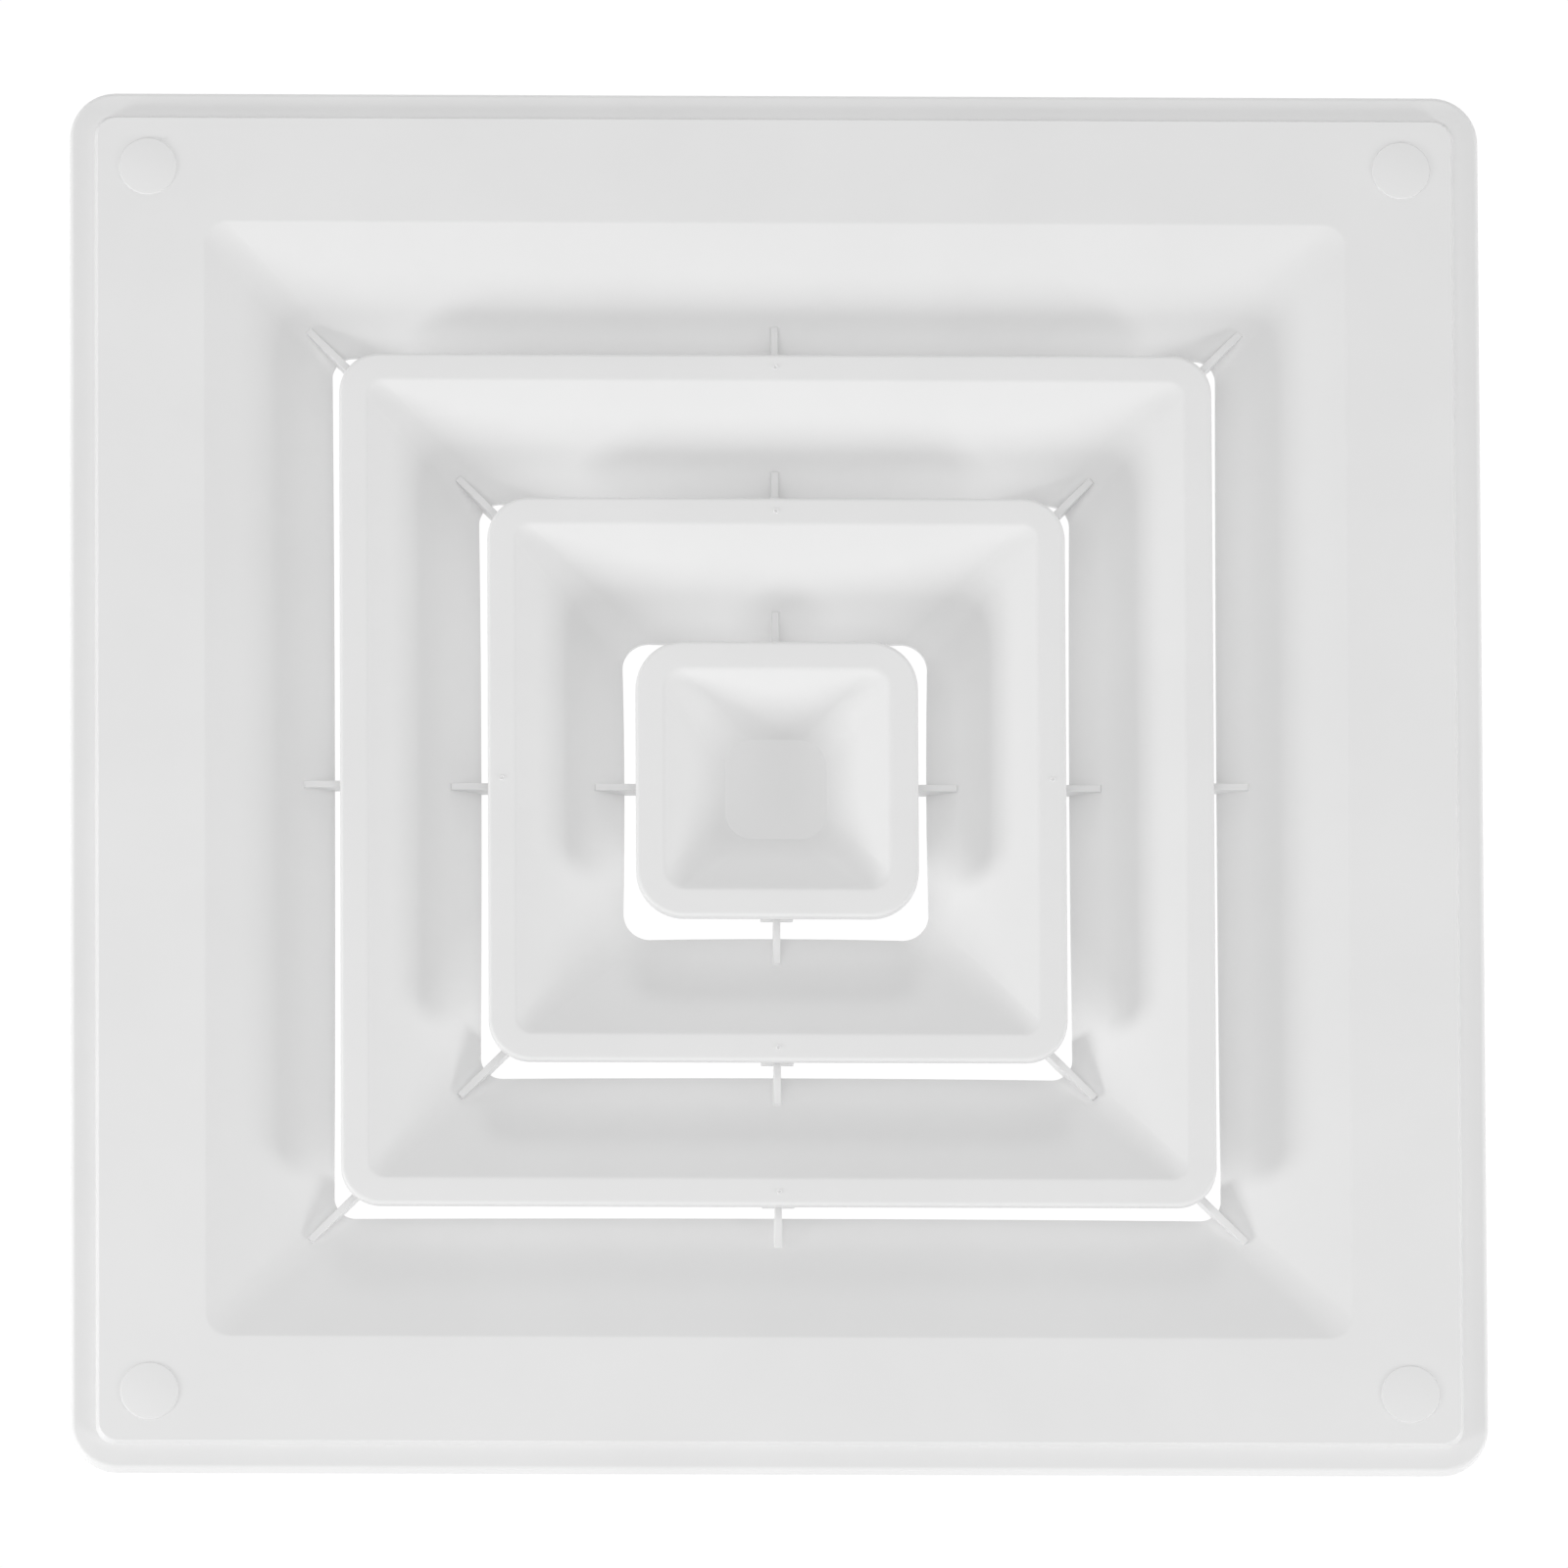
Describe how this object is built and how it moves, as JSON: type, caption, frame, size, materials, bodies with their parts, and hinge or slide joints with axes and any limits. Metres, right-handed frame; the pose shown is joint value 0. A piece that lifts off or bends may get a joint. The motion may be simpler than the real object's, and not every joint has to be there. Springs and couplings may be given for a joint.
{
  "type": "ceiling air diffuser",
  "caption": "Square plastic ceiling air diffuser with stepped louvre rings round a closed centre cone, a square duct collar behind, and push-in caps over its fixing screws.",
  "frame": {"origin": "centre of the end of the duct collar, on which the diffuser stands when it lies face up", "axes": "+Z is the outward normal of the room-side face: up when it lies face up, down into the room when it is fitted to a ceiling. +X and +Y run across two neighbouring sides."},
  "size_m": [0.3, 0.3, 0.03],
  "materials": {
    "white_plastic": "fine satin moulding",
    "cap_plastic": "fine satin moulding",
    "zinc_steel": "bright zinc plate",
    "foam": "matt closed-cell foam"
  },
  "bodies": {
    "diffuser": {"frame": "white_plastic", "outer_louvre": "white_plastic", "middle_louvre": "white_plastic", "centre_cone": "white_plastic", "fixing_screw_1": "zinc_steel", "fixing_screw_2": "zinc_steel", "fixing_screw_3": "zinc_steel", "fixing_screw_4": "zinc_steel", "frame_rib_screw_1": "zinc_steel", "frame_rib_screw_2": "zinc_steel", "frame_rib_screw_3": "zinc_steel", "frame_rib_screw_4": "zinc_steel", "outer_rib_screw_1": "zinc_steel", "outer_rib_screw_2": "zinc_steel", "outer_rib_screw_3": "zinc_steel", "outer_rib_screw_4": "zinc_steel", "middle_rib_screw_1": "zinc_steel", "middle_rib_screw_2": "zinc_steel", "middle_rib_screw_3": "zinc_steel", "middle_rib_screw_4": "zinc_steel", "foam_strip_1": "foam", "foam_strip_2": "foam", "foam_strip_3": "foam", "foam_strip_4": "foam"},
    "cap_1": {"screw_cap_1": "cap_plastic"},
    "cap_2": {"screw_cap_2": "cap_plastic"},
    "cap_3": {"screw_cap_3": "cap_plastic"},
    "cap_4": {"screw_cap_4": "cap_plastic"}
  },
  "joints": [
    {"name": "cap_1_pull", "type": "slide", "parent": "diffuser", "child": "cap_1", "axis": [0, 0, 1], "range_m": [0, 0.012]},
    {"name": "cap_2_pull", "type": "slide", "parent": "diffuser", "child": "cap_2", "axis": [0, 0, 1], "range_m": [0, 0.012]},
    {"name": "cap_3_pull", "type": "slide", "parent": "diffuser", "child": "cap_3", "axis": [0, 0, 1], "range_m": [0, 0.012]},
    {"name": "cap_4_pull", "type": "slide", "parent": "diffuser", "child": "cap_4", "axis": [0, 0, 1], "range_m": [0, 0.012]}
  ]
}
